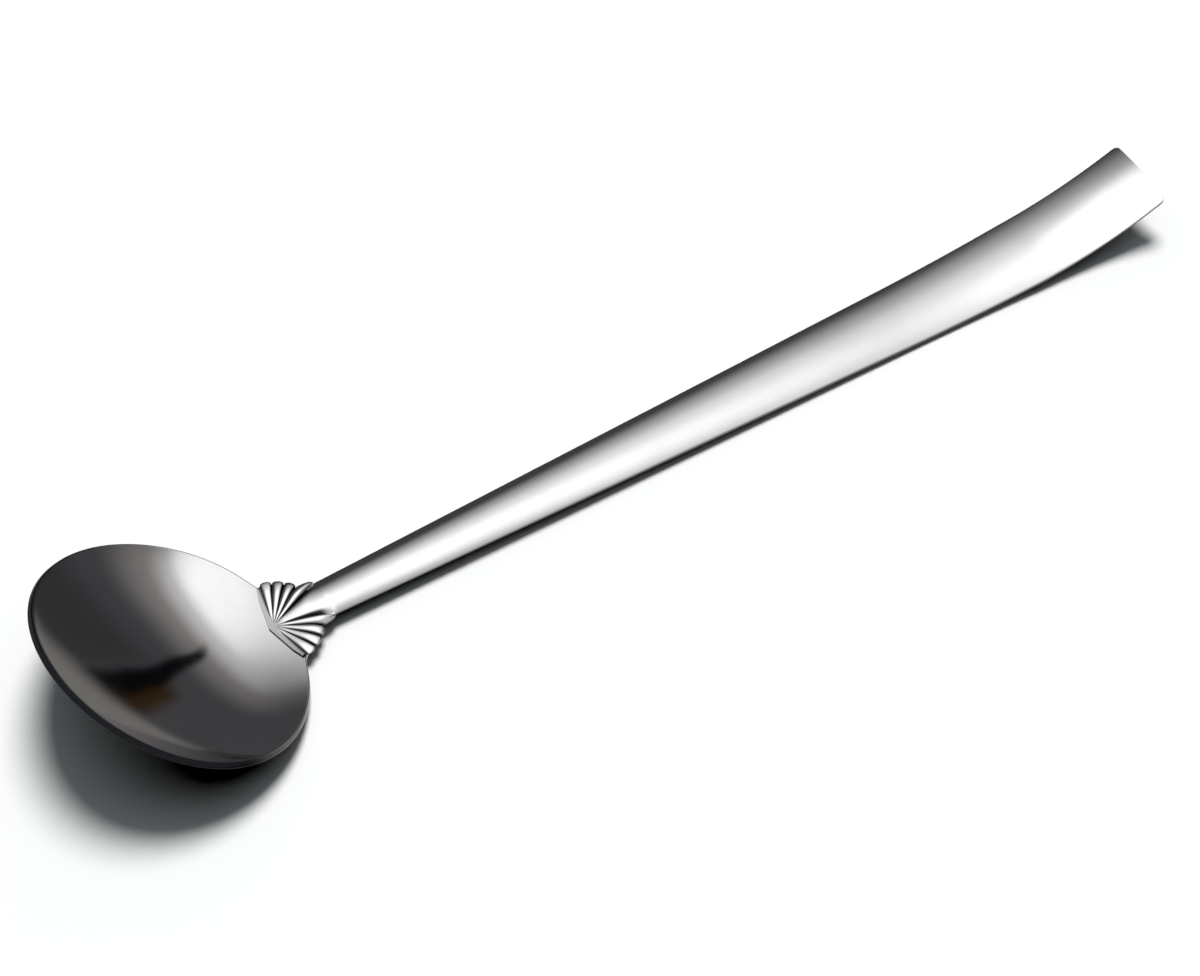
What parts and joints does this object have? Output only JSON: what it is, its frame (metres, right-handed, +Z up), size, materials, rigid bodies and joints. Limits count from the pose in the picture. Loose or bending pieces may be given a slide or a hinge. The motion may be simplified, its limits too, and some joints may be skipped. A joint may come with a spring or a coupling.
{
  "type": "tea measuring spoon",
  "caption": "Long-handled steel tea measure with a round tilted bowl, a fluted shell collar at the neck and a crowned channel handle whose end curls up.",
  "frame": {"origin": "middle of the small flat under the bowl that rests on the table", "axes": "+X from the bowl along the handle to its end, +Y across the spoon, +Z up from the table"},
  "size_m": [0.1613, 0.0372, 0.0161],
  "materials": {
    "bowl_steel": "polished to a mirror",
    "handle_steel": "polished to a mirror",
    "collar_steel": "polished",
    "braze": "dull"
  },
  "bodies": {
    "root": {"bowl": "bowl_steel", "handle": "handle_steel", "shell_collar": "collar_steel", "collar_braze": "braze", "tang_braze": "braze"}
  },
  "joints": []
}
